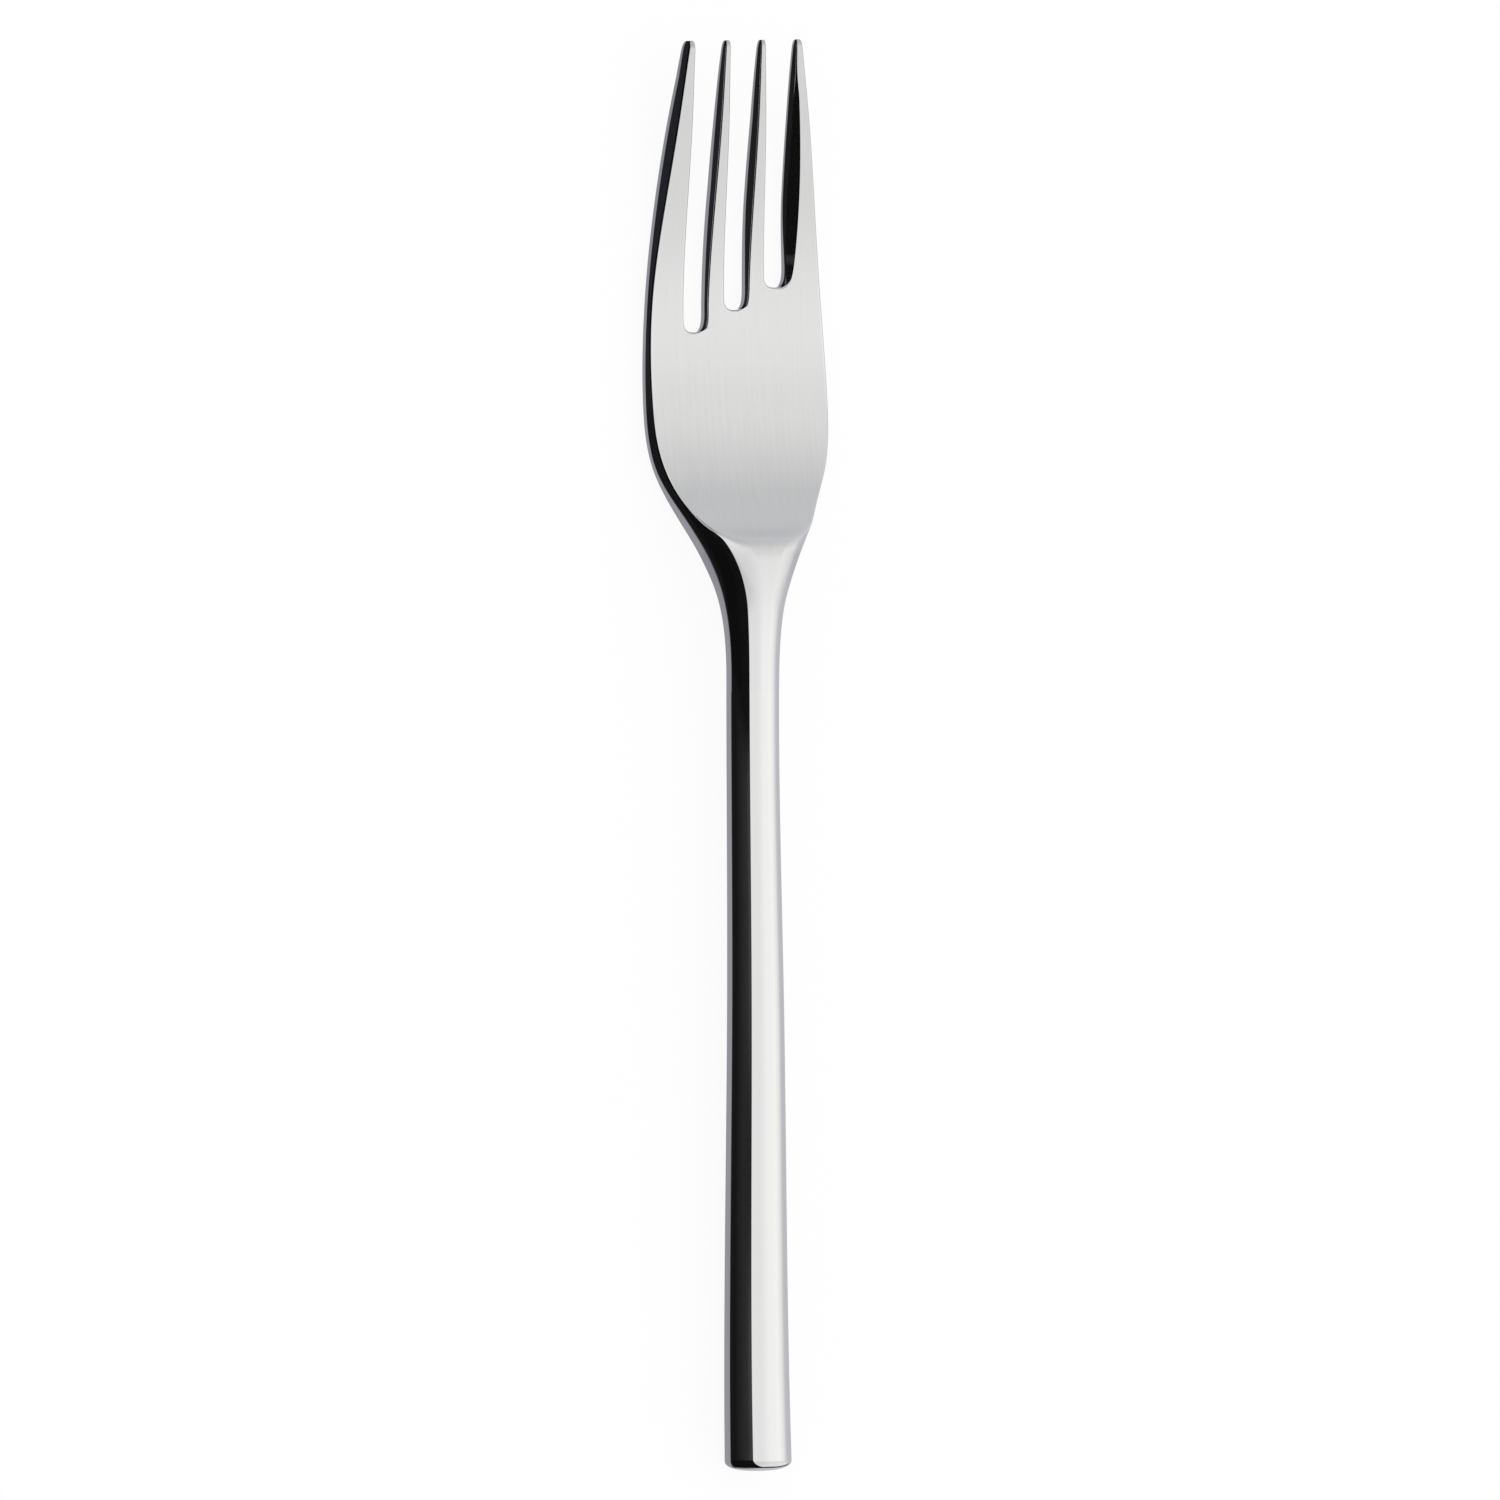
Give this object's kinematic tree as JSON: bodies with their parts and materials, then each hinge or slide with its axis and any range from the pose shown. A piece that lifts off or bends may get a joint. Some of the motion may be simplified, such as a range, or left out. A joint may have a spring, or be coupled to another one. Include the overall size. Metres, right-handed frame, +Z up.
{
  "type": "dessert fork",
  "caption": "Polished stainless steel dessert fork with a thick oval hollow handle, a soft crease at the neck and slot roots stepped along a diagonal.",
  "frame": {"origin": "on the table, under the middle of the fork's length and width", "axes": "+Y along the fork from the butt to the tine tips, +Z up from the table through the front of the fork, +X to the right seen from the butt with the front up"},
  "size_m": [0.0262, 0.18, 0.0093],
  "materials": {
    "head_steel": "polished, with a very fine lengthwise satin on the front",
    "handle_steel": "mirror polished"
  },
  "bodies": {
    "root": {"fork_head": "head_steel", "handle_front_shell": "handle_steel", "handle_back_shell": "handle_steel", "butt_cap": "handle_steel"}
  },
  "joints": []
}
